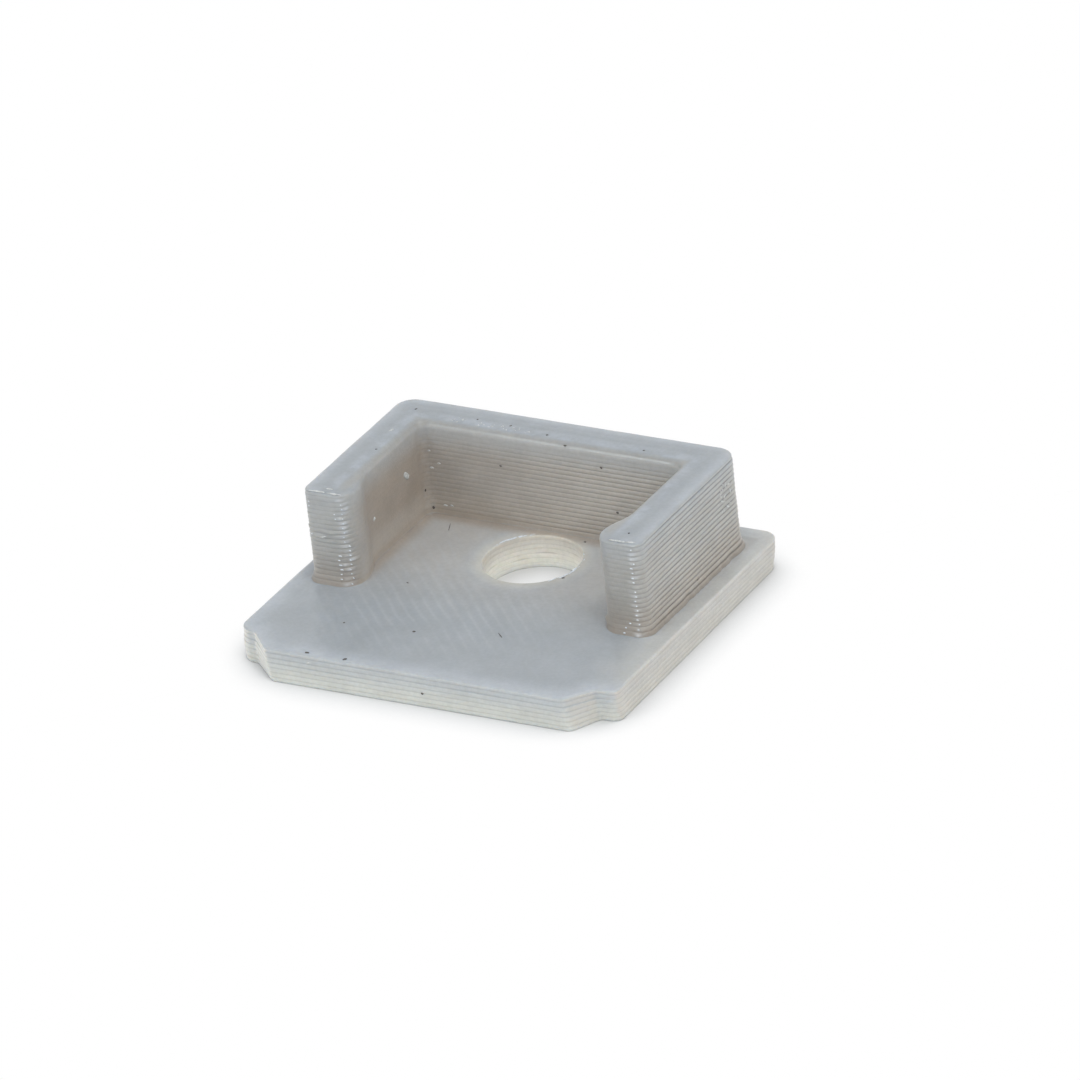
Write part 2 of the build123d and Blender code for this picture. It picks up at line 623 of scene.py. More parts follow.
class Shading:
    """Short names for the nodes of a material or the world."""

    # Colour sockets of a mix node
    FIRST, SECOND, RESULT = 6, 7, 2

    def __init__(self, owner):
        owner.use_nodes = True
        self.tree = owner.node_tree

    def node(self, kind, inputs=None, **settings):
        """Add a node, set its properties and its unlinked inputs."""
        made = self.tree.nodes.new(kind)
        for key, value in settings.items():
            setattr(made, key, value)
        for key, value in (inputs or {}).items():
            made.inputs[key].default_value = value
        return made

    def put(self, value, socket):
        """Link a node's output to a socket, or set the socket to a constant."""
        if isinstance(value, bpy.types.NodeSocket):
            self.tree.links.new(value, socket)
        else:
            socket.default_value = value

    def math(self, operation, *values):
        made = self.node("ShaderNodeMath", operation=operation)
        for value, socket in zip(values, made.inputs):
            self.put(value, socket)
        return made.outputs[0]

    def plus(self, first, second):
        return self.math("ADD", first, second)

    def minus(self, first, second):
        return self.math("SUBTRACT", first, second)

    def times(self, product, *others):
        """Product of two or more values."""
        for other in others:
            product = self.math("MULTIPLY", product, other)
        return product

    def size(self, value):
        """A value without its sign."""
        return self.math("ABSOLUTE", value)

    def off_centre(self, value):
        """How far a value is from halfway between whole numbers, from 0 to 0.5."""
        return self.size(self.minus(self.math("FRACT", value), 0.5))

    def ramp(self, value, start, end, low=0.0, high=1.0):
        """Smooth step from low, where value is start, to high, where it is end."""
        made = self.node("ShaderNodeMapRange", interpolation_type="SMOOTHSTEP")
        for part, socket in zip((value, start, end, low, high), made.inputs):
            self.put(part, socket)
        return made.outputs[0]

    def mix(self, share, first, second):
        """Colour between two colours, each a node's output or three numbers."""
        made = self.node("ShaderNodeMix", data_type="RGBA")
        self.put(share, made.inputs[0])
        for colour, place in ((first, self.FIRST), (second, self.SECOND)):
            linked = isinstance(colour, bpy.types.NodeSocket)
            self.put(colour if linked else (*colour, 1), made.inputs[place])
        return made.outputs[self.RESULT]

    def tint(self, base, colour, share, strength=None):
        """Base with a colour laid over it, where the share says and as strongly as given."""
        if strength is not None:
            share = self.times(share, strength)
        return self.mix(share, base, colour)

    def noise(self, place, scale, detail=3.0):
        made = self.node("ShaderNodeTexNoise", {"Scale": scale, "Detail": detail, "Roughness": 0.6})
        self.put(place, made.inputs["Vector"])
        return made.outputs["Fac"]

    def axes(self, vector):
        """The three parts of a vector."""
        made = self.node("ShaderNodeSeparateXYZ")
        self.put(vector, made.inputs[0])
        return made.outputs

    def distance(self, place, centre):
        made = self.node("ShaderNodeVectorMath", operation="DISTANCE")
        self.put(place, made.inputs[0])
        self.put(centre, made.inputs[1])
        return made.outputs["Value"]

    def object_place(self):
        """Place on the object, in metres."""
        return self.node("ShaderNodeTexCoord").outputs["Object"]

    def attribute(self, name):
        """A level that the mesh keeps at each vertex."""
        return self.node("ShaderNodeAttribute", attribute_name=name).outputs["Fac"]


# Colours of the plastic (linear). Most hold painted light and shade: painted sky light, bluish,
# on tops and upper faces, a painted sheen on rims, painted bounce light on the plate's edge, in
# the hole and low in the U, and painted shade, brownish, in the U and at the foot of the wall
# Painted sky light: the tops are bluish and cooler than the side faces
TOP_SKYLIT_COLOUR = (0.345, 0.365, 0.385)
# Painted light: the plate's top lighter and warmer deep inside the U
TOP_INSIDE_LIT_COLOUR = (0.46, 0.45, 0.435)
# Painted sky light, bluish, on the top of the wall
CROWN_SKYLIT_COLOUR = (0.33, 0.35, 0.37)
# Painted shade, brownish, where the top of the wall rounds down into the U
CROWN_EDGE_SHADE_COLOUR = (0.34, 0.335, 0.32)
HAZE_COLOUR = (0.41, 0.44, 0.48)
# Painted sheen along the rounded rims, warmer on the right side of the plate
RIM_SHEEN_COLOUR = (0.43, 0.455, 0.485)
WARM_RIM_SHEEN_COLOUR = (0.50, 0.50, 0.485)
SIDE_COLOUR = (0.425, 0.42, 0.405)
# Painted sky light, bluish, near the top of the outer faces, and painted light on the left tip
SIDE_HIGH_SKYLIT_COLOUR = (0.43, 0.44, 0.445)
# Painted shade, brownish, on the faces inside the U; painted bounce light low at the left and painted
# light towards the right
INSIDE_SHADED_COLOUR = (0.44, 0.405, 0.37)
INSIDE_LOW_BOUNCE_COLOUR = (0.54, 0.49, 0.43)
INSIDE_RIGHT_LIT_COLOUR = (0.51, 0.475, 0.435)
# Painted sky light near the top of the faces inside the U
INSIDE_HIGH_SKYLIT_COLOUR = (0.47, 0.475, 0.475)
# Painted light on the plate's edge: bluish sky light at the top, paler bounce light low down and on
# the left, warmer light on the right
PLATE_EDGE_HIGH_SKYLIT = (0.49, 0.51, 0.525)
PLATE_EDGE_LOW_BOUNCE_LIT = (0.63, 0.63, 0.59)
PLATE_EDGE_LEFT_LIT = (0.75, 0.74, 0.70)
PLATE_EDGE_RIGHT_LIT = (0.58, 0.545, 0.50)
# Painted bounce light on the side of the hole, and a painted glow on the plate round it
HOLE_BOUNCE_LIT_COLOUR = (0.86, 0.83, 0.755)
HOLE_HIGH_LIT_COLOUR = (0.64, 0.61, 0.56)
HOLE_RIM_LIT_COLOUR = (0.56, 0.545, 0.50)
# Painted shade, brownish, where the wall meets the plate, low on the faces and at the foot
JOINT_SHADE_TINT = (0.35, 0.27, 0.20)
FOOT_SHADE_TINT = (0.27, 0.235, 0.20)
# Painted highlights along the plate's diagonal lines
STREAK_HIGHLIGHT_COLOUR = (0.46, 0.475, 0.485)
# Scars where layers start: partly whitened plastic, partly painted glints
SCAR_AND_GLINT_COLOUR = (0.80, 0.84, 0.92)

# Skin and depth of the plastic
PLASTIC = {
    "Roughness": 0.32,
    "IOR": 1.46,
    "Coat Weight": 0.1,
    "Coat Roughness": 0.12,
    "Subsurface Weight": 0.7,
    "Subsurface Radius": (1.0, 0.8, 0.6),
    "Subsurface Scale": 0.4 * MM,
}
# How far painted shade darkens the seams between layers on the side faces
SEAM_SHADE = 0.5
GRAIN = {"Strength": 0.35, "Distance": 0.015 * MM}


class Place:
    """A shaded point: its place and distances in millimetres, its normal, and shares from 0 to 1."""

    def __init__(self, shade):
        scaled = shade.node("ShaderNodeVectorMath", {"Scale": 1 / MM}, operation="SCALE")
        shade.put(shade.object_place(), scaled.inputs[0])
        self.point = scaled.outputs[0]
        self.x, self.y, self.z = shade.axes(self.point)
        normal = shade.node("ShaderNodeNewGeometry").outputs["Normal"]
        self.to_right, self.to_back, self.to_top = shade.axes(normal)
        self.rim = shade.attribute("rim")
        self.scar = shade.attribute("scar")
        self.seam_depth = shade.attribute("seam")
        self.find_faces(shade)
        self.find_wall(shade)
        self.find_hole(shade)

    def find_faces(self, shade):
        """Top faces, the plate as against the wall, and the ends of the arms."""
        on_wall_top = shade.ramp(self.z, WALL_TOP - 0.45, WALL_TOP - 0.22)
        on_plate_top = shade.ramp(self.z, PLATE_TOP + 0.015, PLATE_TOP + 0.005)
        level = shade.ramp(self.to_top, 0.1, 0.75)
        self.on_top = shade.times(level, shade.plus(on_wall_top, on_plate_top))
        self.on_plate = shade.ramp(self.z, PLATE_TOP + 0.02, PLATE_TOP)
        self.arm_end = shade.ramp(self.to_back, -0.5, -0.9)

    def find_wall(self, shade):
        """Inside of the U, and the distances from the wall's inner and outer faces."""
        out_x = shade.size(self.x)
        self.past_tips = shade.ramp(self.y, WALL_FRONT, WALL_FRONT + 1.0)
        within_arms = shade.ramp(out_x, ARM_INNER_X + 0.5, ARM_INNER_X + 0.1)
        before_back = shade.ramp(self.y, BACK_INNER_Y + 0.45, BACK_INNER_Y + 0.15)
        self.in_u = shade.times(within_arms, before_back, self.past_tips)
        near_middle = shade.ramp(out_x, ARM_INNER_X + 1.0, ARM_INNER_X - 1.3)
        towards_back = shade.ramp(self.y, WALL_FRONT - 1.5, WALL_FRONT + 4.0)
        self.deep_in = shade.times(near_middle, towards_back)
        inner_x = shade.minus(ARM_INNER_X, out_x)
        inner_y = shade.minus(BACK_INNER_Y, self.y)
        self.from_inner = shade.size(shade.math("MINIMUM", inner_x, inner_y))
        outer_x = shade.minus(out_x, WALL_X)
        outer_y = shade.minus(self.y, WALL_BACK)
        self.from_outer = shade.size(shade.math("MAXIMUM", outer_x, outer_y))

    def find_hole(self, shade):
        """Side of the hole and its rim."""
        back = shade.minus(self.y, HOLE_Y)
        from_hole = shade.plus(shade.times(self.x, self.x), shade.times(back, back))
        from_hole = shade.math("SQRT", from_hole)
        self.in_hole = shade.ramp(from_hole, HOLE_RADIUS + 0.3, HOLE_RADIUS + 0.15)
        self.at_hole = shade.ramp(from_hole, HOLE_RADIUS + 0.75, HOLE_RADIUS + 0.05)


def diagonal_streaks(shade, at):
    """Painted highlights on the plate's diagonal lines, in patches, strongest round their centre."""
    wobble = shade.times(shade.noise(at.point, 0.5, detail=2.0), 0.6)
    across = shade.times(shade.plus(at.x, at.y), math.sqrt(0.5) / LINE)
    streak = shade.ramp(shade.off_centre(shade.plus(across, wobble)), 0.25, 0.5)
    patches = shade.ramp(shade.noise(at.point, 0.45, detail=2.0), 0.3, 0.55)
    off_rim = shade.ramp(at.rim, 0.1, 0.0)
    from_centre = shade.distance(at.point, STREAK_CENTRE)
    middle = shade.ramp(from_centre, 1.4 * STREAK_REACH, 0.5 * STREAK_REACH)
    return shade.times(streak, patches, shade.times(off_rim, middle))


def plate_top_colour(shade, at):
    """Top of the plate: bluish painted sky light, lighter inside the U, a painted sheen along its rim
    and its right lip, a painted glow round the hole and painted shade next to the wall.
    """
    right_edge = shade.ramp(at.x, WALL_X - 1.4, WALL_X + 0.8)
    right_lip = shade.times(right_edge, shade.ramp(at.y, PLATE_FRONT + 0.95, PLATE_FRONT + 3.15))
    near_inner = shade.times(shade.ramp(at.from_inner, 0.8, 0.1), at.past_tips)
    near_outer = shade.times(shade.ramp(at.from_outer, 0.4, 0.12), at.past_tips)
    rim_sheen_colour = shade.mix(right_lip, RIM_SHEEN_COLOUR, WARM_RIM_SHEEN_COLOUR)
    plate = shade.mix(at.deep_in, TOP_SKYLIT_COLOUR, TOP_INSIDE_LIT_COLOUR)
    plate = shade.tint(plate, STREAK_HIGHLIGHT_COLOUR, diagonal_streaks(shade, at), strength=0.3)
    plate = shade.tint(plate, rim_sheen_colour, at.rim)
    plate = shade.tint(plate, WARM_RIM_SHEEN_COLOUR, right_lip, strength=0.8)
    plate = shade.tint(plate, HOLE_RIM_LIT_COLOUR, at.at_hole, strength=0.85)
    plate = shade.tint(plate, JOINT_SHADE_TINT, near_inner, strength=0.6)
    return shade.tint(plate, FOOT_SHADE_TINT, near_outer, strength=0.3)


def crown_colour(shade, at):
    """Top of the wall: bluish painted sky light, a painted sheen along the outer edge, hazy near the
    inner one and in painted shade, brownish, on it.
    """
    outer_rim = shade.times(at.rim, shade.ramp(at.from_inner, 0.6, 1.0))
    start = shade.ramp(at.from_inner, 0.15, 0.35)
    end = shade.ramp(at.from_inner, 0.85, 0.5)
    patches = shade.ramp(shade.noise(at.point, 1.6), 0.35, 0.65)
    haze = shade.times(start, end, patches, at.past_tips)
    inner_edge = shade.times(shade.ramp(at.from_inner, 0.35, 0.05), at.past_tips)
    crown = shade.tint(CROWN_SKYLIT_COLOUR, RIM_SHEEN_COLOUR, outer_rim, strength=0.7)
    crown = shade.tint(crown, HAZE_COLOUR, haze, strength=0.6)
    return shade.tint(crown, CROWN_EDGE_SHADE_COLOUR, inner_edge, strength=0.85)


def inner_face_colour(shade, at):
    """Faces inside the U in painted shade, brownish, darker on the left arm, with painted light on the
    right and painted bounce light low down at the left.
    """
    to_right = shade.ramp(at.x, -3.0, 3.0)
    on_left_arm = shade.ramp(at.x, -ARM_INNER_X + 0.6, -ARM_INNER_X, high=0.4)
    off_plate = shade.ramp(at.z, PLATE_TOP + 0.2, PLATE_TOP + 1.4)
    low = shade.ramp(at.z, PLATE_TOP + 1.4, PLATE_TOP + 0.3)
    to_left = shade.ramp(at.x, 2.0, -4.0, high=0.6)
    inner = shade.mix(to_right, INSIDE_SHADED_COLOUR, INSIDE_RIGHT_LIT_COLOUR)
    inner = shade.tint(inner, JOINT_SHADE_TINT, shade.times(on_left_arm, off_plate))
    return shade.tint(inner, INSIDE_LOW_BOUNCE_COLOUR, shade.times(low, to_left))


def wall_colour(shade, at):
    """Faces of the wall: painted sky light, bluish, near the top, painted shade, brownish, low down,
    at the foot and on the right tip, painted light on the left tip, and the scars with painted glints.
    """
    near_tip = shade.ramp(at.y, WALL_FRONT + 3.0, WALL_FRONT + 0.5)
    right_tip = shade.times(near_tip, shade.ramp(at.x, 4.0, 6.0, high=0.12))
    left_tip = shade.times(near_tip, shade.ramp(at.x, -4.0, -6.0, high=0.3))
    near_top = shade.ramp(at.z, WALL_TOP - 1.4, WALL_TOP - 0.15)
    skylit_top_colour = shade.mix(at.in_u, SIDE_HIGH_SKYLIT_COLOUR, INSIDE_HIGH_SKYLIT_COLOUR)
    low = shade.ramp(at.z, PLATE_TOP + 2.2, PLATE_TOP)
    low = shade.times(low, shade.ramp(at.in_u, 0.0, 1.0, low=0.4, high=0.08))
    foot = shade.ramp(at.z, PLATE_TOP + 0.4, PLATE_TOP + 0.05)
    foot = shade.times(foot, shade.ramp(at.arm_end, 0.0, 1.0, low=0.65, high=0.5))
    foot = shade.times(foot, shade.ramp(at.in_u, 0.0, 1.0, low=1.0, high=0.45))
    wall = shade.mix(at.in_u, SIDE_COLOUR, inner_face_colour(shade, at))
    wall = shade.tint(wall, FOOT_SHADE_TINT, right_tip)
    wall = shade.tint(wall, SIDE_HIGH_SKYLIT_COLOUR, left_tip)
    wall = shade.tint(wall, skylit_top_colour, near_top, strength=0.9)
    wall = shade.tint(wall, JOINT_SHADE_TINT, low)
    wall = shade.tint(wall, shade.mix(at.in_u, FOOT_SHADE_TINT, JOINT_SHADE_TINT), foot)
    return shade.tint(wall, SCAR_AND_GLINT_COLOUR, at.scar)


def plate_edge_colour(shade, at):
    """Edge of the plate and side of the hole in painted light: sky light at the top, bounce light
    low down, on the left and in the hole, and warmer light on the right.
    """
    edge = shade.mix(shade.ramp(at.z, 0.1, PLATE_TOP), PLATE_EDGE_LOW_BOUNCE_LIT, PLATE_EDGE_HIGH_SKYLIT)
    edge = shade.tint(edge, PLATE_EDGE_RIGHT_LIT, shade.ramp(at.to_right, 0.5, 0.9, high=0.65))
    edge = shade.tint(edge, PLATE_EDGE_LEFT_LIT, shade.ramp(at.to_right, -0.15, -0.6, high=0.9))
    hole = shade.mix(shade.ramp(at.z, 0.5, PLATE_TOP), HOLE_BOUNCE_LIT_COLOUR, HOLE_HIGH_LIT_COLOUR)
    return shade.tint(edge, hole, at.in_hole)


def plastic_brightness(shade, at):
    """Cloudiness and mottling of the plastic, and painted shade in the seams between layers."""
    clouds = shade.ramp(shade.noise(at.point, 0.9), 0.3, 0.7, low=0.96, high=1.04)
    mottle = shade.ramp(shade.noise(at.point, 7.0), 0.3, 0.7, low=0.965, high=1.035)
    seam = shade.ramp(shade.off_centre(shade.times(at.z, 1 / LAYER)), 0.33, 0.5)
    on_side = shade.times(shade.minus(1.0, at.on_top), SEAM_SHADE)
    painted_seam_shade = shade.times(seam, at.seam_depth, on_side)
    return shade.times(clouds, mottle, shade.minus(1.0, painted_seam_shade))


def plastic_material():
    """Light grey translucent plastic with a satin skin."""
    material = bpy.data.materials.new("grey_print_plastic")
    shade = Shading(material)
    shader = shade.tree.nodes["Principled BSDF"]
    for key, value in PLASTIC.items():
        shader.inputs[key].default_value = value
    at = Place(shade)
    upright = shade.mix(at.on_plate, wall_colour(shade, at), plate_edge_colour(shade, at))
    level = shade.mix(at.on_plate, crown_colour(shade, at), plate_top_colour(shade, at))
    cloudy = shade.node("ShaderNodeHueSaturation")
    shade.put(shade.mix(at.on_top, upright, level), cloudy.inputs["Color"])
    shade.put(plastic_brightness(shade, at), cloudy.inputs["Value"])
    shade.put(cloudy.outputs[0], shader.inputs["Base Color"])
    bump = shade.node("ShaderNodeBump", GRAIN)
    shade.put(shade.noise(at.point, 14.0, detail=4.0), bump.inputs["Height"])
    shade.put(bump.outputs["Normal"], shader.inputs["Normal"])
    return material


# The printed body
body = printed_body()
plastic = plastic_material()
cap = mesh_object("printed_cap", body.points, body.faces, plastic, **body.levels)
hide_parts("end_cap")
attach(cap, "root")

# Faces that grains lie on: the way each looks, and the direction from which a turn is counted
TOP = (Vector((0, 0, 1)), Vector((1, 0, 0)))
FRONT = (Vector((0, -1, 0)), Vector((1, 0, 0)))
RIGHT = (Vector((1, 0, 0)), Vector((0, 1, 0)))

# How far from its given place a grain looks for the face, how thick it is and how uneven
SPECK_SEARCH = 0.25
SPECK_THICKNESS = 0.045
SPECK_RELIEF = 0.5
SPECK_NOISE = 2.5
body_tree = BVHTree.FromPolygons(body.points, body.faces)

# Place, face, length, width, turn in degrees
DARK_SPECKS = [
    ((-2.33, BACK_INNER_Y, 3.94), FRONT, 0.11, 0.09, 0),
    ((-0.35, 4.99, 5.37), TOP, 0.12, 0.08, 30),
    ((0.64, 4.62, 5.36), TOP, 0.16, 0.09, 0),
    ((-2.09, 5.22, 5.37), TOP, 0.13, 0.08, 60),
    ((-5.75, 4.42, 2.43), FRONT, 0.16, 0.09, 50),
    ((-5.57, BACK_INNER_Y - 0.03, 1.62), FRONT, 0.15, 0.13, 0),
    ((1.91, 1.32, 1.38), TOP, 0.13, 0.09, 20),
    ((1.3, 4.2, 1.38), TOP, 0.12, 0.1, 0),
    ((2.17, BACK_INNER_Y, 4.58), FRONT, 0.12, 0.1, 0),
    ((2.68, BACK_INNER_Y, 2.71), FRONT, 0.12, 0.1, 0),
    ((WALL_X, 2.19, 1.81), RIGHT, 0.14, 0.12, 0),
    ((-4.66, -7.1, 1.375), TOP, 0.2, 0.12, 0),
    ((-2.99, -7.1, 1.375), TOP, 0.17, 0.13, 60),
    ((-1.51, -4.34, 1.38), TOP, 0.14, 0.12, 0),
    ((-4.47, -4.55, 1.38), TOP, 0.1, 0.08, 0),
    ((-3.71, -0.92, 1.38), TOP, 0.1, 0.08, 0),
    ((0.42, PLATE_FRONT + 0.035, 0.58), FRONT, 0.12, 0.08, 0),
    ((-6.36, 5.34, 5.37), TOP, 0.13, 0.08, 70),
    ((-3.6, 5.3, 5.37), TOP, 0.09, 0.07, 0),
    ((-6.2, 1.9, 5.37), TOP, 0.1, 0.07, 30),
    ((6.6, -1.2, 5.37), TOP, 0.1, 0.08, 0),
    ((3.9, 5.0, 5.37), TOP, 0.09, 0.07, 0),
    ((1.85, -3.57, 1.385), TOP, 0.45, 0.04, -42),
    ((-4.4, 3.65, 1.385), TOP, 0.7, 0.03, 112),
]
# Light specks, and pale strips that are painted highlights on the arm ends' top front edges and low on
# the inner back wall. Place, face, length, width, turn in degrees
LIGHT_SPECKS_AND_HIGHLIGHTS = [
    ((-ARM_INNER_X, 3.21, 3.62), RIGHT, 0.52, 0.24, -50),
    ((-ARM_INNER_X, 0.55, 3.08), RIGHT, 0.22, 0.12, 60),
    ((-6.4, 3.47, 5.37), TOP, 0.24, 0.1, 60),
    ((-5.51, BACK_INNER_Y, 4.11), FRONT, 0.16, 0.07, 0),
    ((-5.12, BACK_INNER_Y, 3.6), FRONT, 0.18, 0.08, 0),
    ((-5.46, BACK_INNER_Y, 3.37), FRONT, 0.18, 0.09, 0),
    ((-5.03, BACK_INNER_Y - 0.02, 1.78), FRONT, 0.2, 0.09, 0),
    ((-4.75, BACK_INNER_Y - 0.02, 1.82), FRONT, 0.16, 0.1, 0),
    ((-4.53, PLATE_FRONT + 0.05, 1.06), FRONT, 0.22, 0.06, 10),
    ((-6.6, WALL_FRONT, 3.45), FRONT, 0.3, 0.07, 15),
    ((-6.7, WALL_FRONT + 0.09, 5.35), TOP, 0.8, 0.12, 0),
    ((-6.0, WALL_FRONT + 0.1, 5.35), TOP, 0.6, 0.1, 0),
    ((-6.3, WALL_FRONT + 0.35, 5.37), TOP, 0.3, 0.1, 0),
    ((6.45, WALL_FRONT + 0.09, 5.35), TOP, 0.8, 0.12, 0),
    ((7.0, WALL_FRONT + 0.12, 5.35), TOP, 0.4, 0.1, 12),
]

# Rows of droplets up the arm ends, pale with painted glints: place in the plan, layers, size,
# spread, chance of each
DROPLET_ROWS = [
    ((WALL_X - 0.36, WALL_FRONT), range(0, 19), 0.1, 0.03, 0.8),
    ((WALL_X - 0.8, WALL_FRONT), range(0, 3), 0.12, 0.1, 0.9),
    ((-ARM_INNER_X + 0.18, WALL_FRONT + 0.02), range(0, 9), 0.13, 0.03, 0.9),
    ((-ARM_INNER_X + 0.08, WALL_FRONT), range(9, 18), 0.09, 0.03, 0.8),
    ((-ARM_INNER_X - 0.2, WALL_FRONT), range(0, 7), 0.16, 0.05, 0.9),
    ((-ARM_INNER_X - 0.2, WALL_FRONT), range(11, 16), 0.08, 0.06, 0.6),
    ((-WALL_X + 0.3, WALL_FRONT), range(1, 19), 0.1, 0.02, 0.4),
]

# Torn stretches of the hole's rim, with painted glints: angle in degrees, spread, number of flecks
TORN_RIM = [(-20, 25, 22), (150, 18, 14), (122, 3, 2)]


def scattered(face, low, high, count, size):
    """Small flecks spread over a patch of a face."""
    flecks = []
    for _ in range(count):
        place = tuple(random.uniform(a, b) for a, b in zip(low, high))
        length = random.uniform(0.5, 1.2) * size
        width = random.uniform(0.25, 0.4) * length
        flecks.append((place, face, length, width, random.uniform(0, 180)))
    return flecks


def droplets(place, layers, size, spread, chance):
    """Glossy droplets up the wall at one place of the plan, where the layers start, with painted
    glints.
    """
    drops = []
    for layer in layers:
        if random.uniform() > chance:
            continue
        x, y = place
        z = PLATE_TOP + (layer + 0.5) * LAYER
        length = random.uniform(0.6, 1.2) * size
        width = min(0.06, 0.5 * size)
        drops.append(((x + random.normal(0, spread), y, z), FRONT, length, width, 0))
    return drops


def rim_flecks(angle, spread, count):
    """Torn flecks along an arc of the upper rim of the hole, pale with painted glints."""
    flecks = []
    for _ in range(count):
        turn = math.radians(random.normal(angle, spread))
        radius = HOLE_RADIUS + random.uniform(0.03, 0.12)
        place = (radius * math.cos(turn), HOLE_Y + radius * math.sin(turn), PLATE_TOP - 0.02)
        length = random.uniform(0.1, 0.3)
        along_rim = math.degrees(turn) + 90 + random.normal(0, 10)
        flecks.append((place, TOP, length, 0.24 * length, along_rim))
    return flecks


def small_ball():
    """Points and faces of a ball 1 across."""
    shape = bmesh.new()
    bmesh.ops.create_icosphere(shape, subdivisions=2, radius=0.5)
    points = [vertex.co.copy() for vertex in shape.verts]
    faces = [tuple(vertex.index for vertex in face.verts) for face in shape.faces]
    shape.free()
    return points, faces


def speck_mesh(specks):
    """Closed flat grains, each half sunk into the face it lies on."""
    ball_points, ball_faces = small_ball()
    points = []
    faces = []
    for place, face, length, width, turn in specks:
        place = Vector(place)
        look, side = face
        hit = body_tree.ray_cast(place + look * SPECK_SEARCH, -look, 2 * SPECK_SEARCH)[0]
        along = Matrix.Rotation(math.radians(turn), 3, look) @ side
        axes = Matrix((along, look.cross(along), look)).transposed()
        thickness = min(SPECK_THICKNESS, 0.5 * width)
        first = len(points)
        for ball_point in ball_points:
            uneven = noise.noise(ball_point * SPECK_NOISE + place)
            u, v, w = ball_point * (1 + SPECK_RELIEF * uneven)
            point = (hit or place) + axes @ Vector((u * length, v * width, w * thickness))
            points.append(tuple(np.clip(point, node_low, node_high)))
        faces.extend(tuple(first + i for i in corners) for corners in ball_faces)
    return points, faces


def speck_material(name, dark, light, roughness):
    """Colour that varies from grain to grain and a little within one."""
    material = bpy.data.materials.new(name)
    shade = Shading(material)
    shader = shade.tree.nodes["Principled BSDF"]
    shader.inputs["Roughness"].default_value = roughness
    share = shade.ramp(shade.noise(shade.object_place(), 12 / MM), 0.35, 0.65)
    shade.put(shade.mix(share, dark, light), shader.inputs["Base Color"])
    return material


def add_specks(name, specks, material):
    points, faces = speck_mesh(specks)
    piece = mesh_object(name, points, faces, material)
    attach(piece, "root")


scratches = scattered(RIGHT, (WALL_X - 0.02, 4.5, 3.5), (WALL_X - 0.01, 5.3, 4.6), count=22, size=0.2)
crown_dust = scattered(TOP, (-4.8, 4.85, 5.375), (-1.0, 5.2, 5.38), count=34, size=0.12)
drops = [drop for row in DROPLET_ROWS for drop in droplets(*row)]
torn = [fleck for stretch in TORN_RIM for fleck in rim_flecks(*stretch)]
dark = speck_material("dark_specks", (0.07, 0.065, 0.06), (0.15, 0.135, 0.12), 0.6)
# Pale grains: light specks and scratches, some of them painted highlights
light = speck_material("light_specks_and_highlights", (0.48, 0.48, 0.47), (0.66, 0.67, 0.66), 0.35)
# Pale, bluish drops and torn flecks: their colour is a painted glint
glint_drop_material = speck_material("drops_with_painted_glints", (0.70, 0.74, 0.80), (0.86, 0.90, 0.96), 0.12)
add_specks("dark_specks", DARK_SPECKS, dark)
add_specks("light_specks_and_highlights", LIGHT_SPECKS_AND_HIGHLIGHTS + scratches + crown_dust, light)
add_specks("drops_with_painted_glints", drops + torn, glint_drop_material)

# Camera, at the photograph's angle through a long lens
IMAGE_SIZE = 1080
AZIMUTH = math.radians(31.8)
ELEVATION = math.radians(27.4)
ROLL = math.radians(-6.5)
CAMERA_DISTANCE = 500.0
PIXELS_PER_MM = 26.06
FRAME_RIGHT = 1.20
FRAME_UP = 2.93
FRAME_Y = 0.15
SENSOR_WIDTH = 36

# Surroundings and floor
HORIZON_COLOUR = (0.86, 0.84, 0.80, 1)
OVERHEAD_COLOUR = (0.48, 0.53, 0.58, 1)
FLOOR_COLOUR = (0.93, 0.925, 0.91)
# Darker paint that the camera sees near the object: a painted shadow that deepens the real one
FLOOR_SHADOW_COLOUR_SEEN = (0.66, 0.66, 0.66)
FLOOR_HALF = 3000
FLOOR_DROP = 0.002
SHADOW_REACH = 2.5

# Lamps
LAMP_DISTANCE = 400
WARM_LIGHT = (1.0, 0.99, 0.97)
COOL_LIGHT = (0.88, 0.95, 1.0)


def make_camera():
    """Camera on the photograph's line of sight, rolled and moved to frame the cap."""
    back = Vector((
        math.sin(AZIMUTH) * math.cos(ELEVATION),
        -math.cos(AZIMUTH) * math.cos(ELEVATION),
        math.sin(ELEVATION),
    ))
    level = Vector((math.cos(AZIMUTH), math.sin(AZIMUTH), 0))
    upright = back.cross(level)
    right = math.cos(ROLL) * level + math.sin(ROLL) * upright
    up = math.cos(ROLL) * upright - math.sin(ROLL) * level
    data = bpy.data.cameras.new("camera")
    data.sensor_width = SENSOR_WIDTH
    data.lens = SENSOR_WIDTH * PIXELS_PER_MM * CAMERA_DISTANCE / IMAGE_SIZE
    data.clip_start = 0.01
    data.clip_end = 50
    camera = bpy.data.objects.new("camera", data)
    place = right * FRAME_RIGHT + up * FRAME_UP + back * CAMERA_DISTANCE + Vector((0, FRAME_Y, 0))
    turned = Matrix((right, up, back)).transposed().to_4x4()
    camera.matrix_world = Matrix.Translation(place * MM) @ turned
    bpy.context.scene.collection.objects.link(camera)
    bpy.context.scene.camera = camera


def seen_directly(shade):
    """1 for rays that show the background itself or its reflection, 0 for rays that gather light."""
    path = shade.node("ShaderNodeLightPath").outputs
    seen = shade.math("MAXIMUM", path["Is Camera Ray"], path["Is Glossy Ray"])
    return shade.math("MAXIMUM", seen, path["Is Transmission Ray"])


def mix_shaders(shade, share, first, second, output):
    """Send the output one shader, and another where the share says."""
    mix = shade.node("ShaderNodeMixShader")
    for part, socket in zip((share, first, second), mix.inputs):
        shade.put(part, socket)
    shade.put(mix.outputs[0], shade.tree.nodes[output].inputs["Surface"])


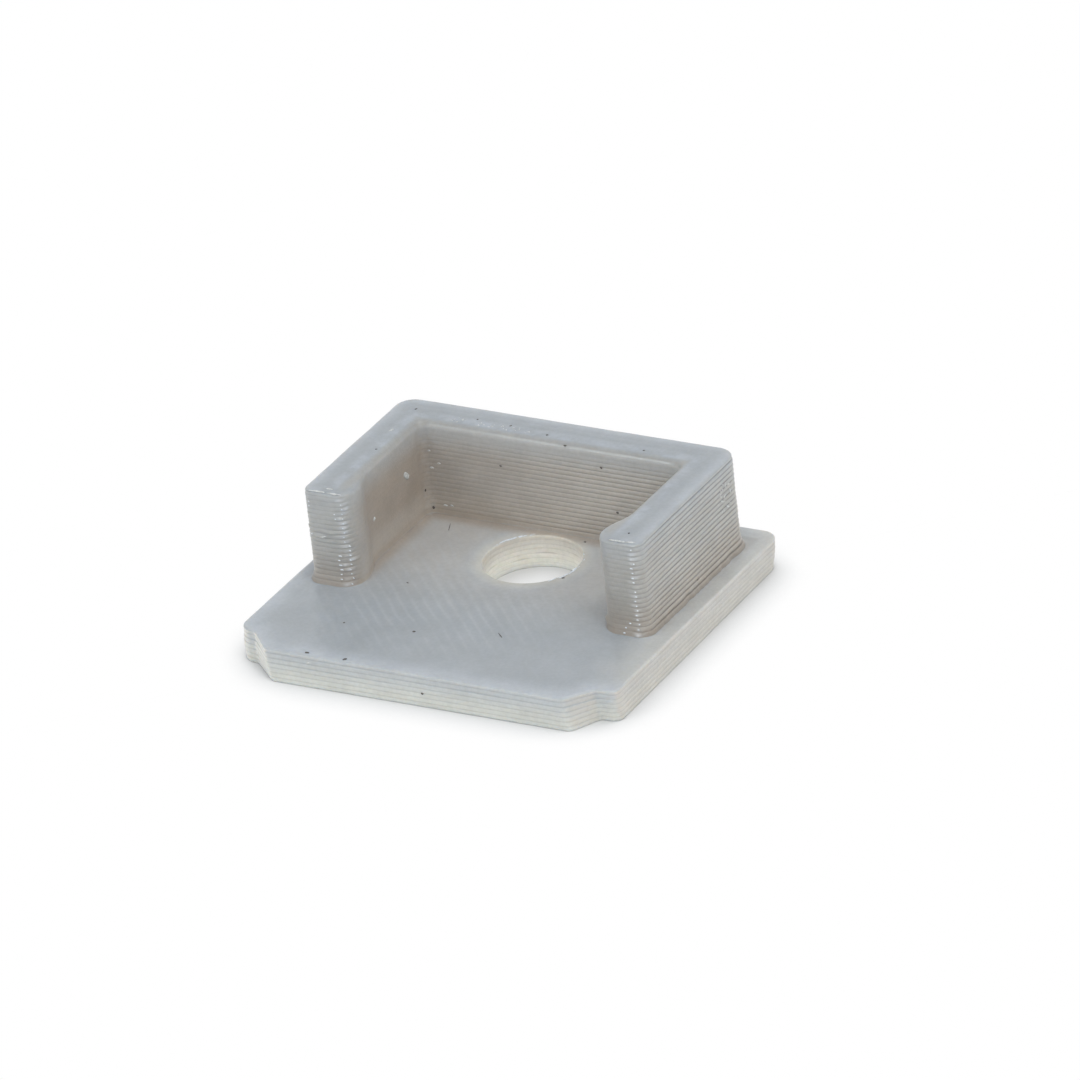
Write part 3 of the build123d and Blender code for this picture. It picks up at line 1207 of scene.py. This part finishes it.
def make_world():
    """White background. The light it gives is warmer and brighter near the horizon."""
    world = bpy.data.worlds.new("studio")
    bpy.context.scene.world = world
    shade = Shading(world)
    height = shade.axes(shade.node("ShaderNodeTexCoord").outputs["Generated"])["Z"]
    sky = shade.node("ShaderNodeValToRGB")
    horizon, overhead = sky.color_ramp.elements
    horizon.position = 0.05
    horizon.color = HORIZON_COLOUR
    overhead.position = 0.9
    overhead.color = OVERHEAD_COLOUR
    shade.put(height, sky.inputs["Fac"])
    soft = shade.tree.nodes["Background"]
    shade.put(sky.outputs["Color"], soft.inputs["Color"])
    white = shade.node("ShaderNodeBackground", {"Color": (1, 1, 1, 1), "Strength": 1.0})
    mix_shaders(shade, seen_directly(shade), soft.outputs[0], white.outputs[0], "World Output")


def make_floor():
    """White floor. Near the object the camera sees its light and shade on a darker paint, a painted
    shadow, and plain white away.
    """
    material = bpy.data.materials.new("white_floor")
    shade = Shading(material)
    shade.tree.nodes.remove(shade.tree.nodes["Principled BSDF"])
    seen = seen_directly(shade)
    paint = shade.node("ShaderNodeBsdfDiffuse")
    shade.put(shade.mix(seen, FLOOR_COLOUR, FLOOR_SHADOW_COLOUR_SEEN), paint.inputs["Color"])
    white = shade.node("ShaderNodeEmission", {"Strength": 1.0})
    closed = shade.node("ShaderNodeAmbientOcclusion", {"Distance": SHADOW_REACH * MM}, samples=16)
    away = shade.node("ShaderNodeMapRange", {"From Min": 0.45, "From Max": 0.88})
    shade.put(closed.outputs["AO"], away.inputs["Value"])
    share = shade.times(away.outputs[0], seen)
    mix_shaders(shade, share, paint.outputs[0], white.outputs[0], "Material Output")
    corners = [(x * FLOOR_HALF, y * FLOOR_HALF, 0) for x, y in ((-1, -1), (1, -1), (1, 1), (-1, 1))]
    floor = mesh_object("floor", corners, [(0, 1, 2, 3)], material)
    floor.location.z = -FLOOR_DROP * MM


def make_lamp(name, direction, size, level, colour):
    """Square lamp aimed at the object. A white surface that faces it shows the level's brightness."""
    data = bpy.data.lights.new(name, "AREA")
    data.size = size * MM
    data.energy = level * (math.pi * LAMP_DISTANCE * MM) ** 2
    data.color = colour
    lamp = bpy.data.objects.new(name, data)
    toward = Vector(direction).normalized()
    lamp.location = toward * LAMP_DISTANCE * MM
    lamp.rotation_mode = "QUATERNION"
    lamp.rotation_quaternion = toward.to_track_quat("Z", "Y")
    bpy.context.scene.collection.objects.link(lamp)


make_camera()
make_world()
make_floor()
make_lamp("soft_box", (0.3, -0.1, 1.0), size=240, level=0.4, colour=WARM_LIGHT)
make_lamp("front_left_lamp", (-0.45, -0.75, 0.55), size=36, level=0.12, colour=COOL_LIGHT)
make_lamp("front_right_lamp", (0.72, -0.42, 0.5), size=36, level=0.1, colour=COOL_LIGHT)
bpy.context.scene.view_settings.view_transform = "Standard"
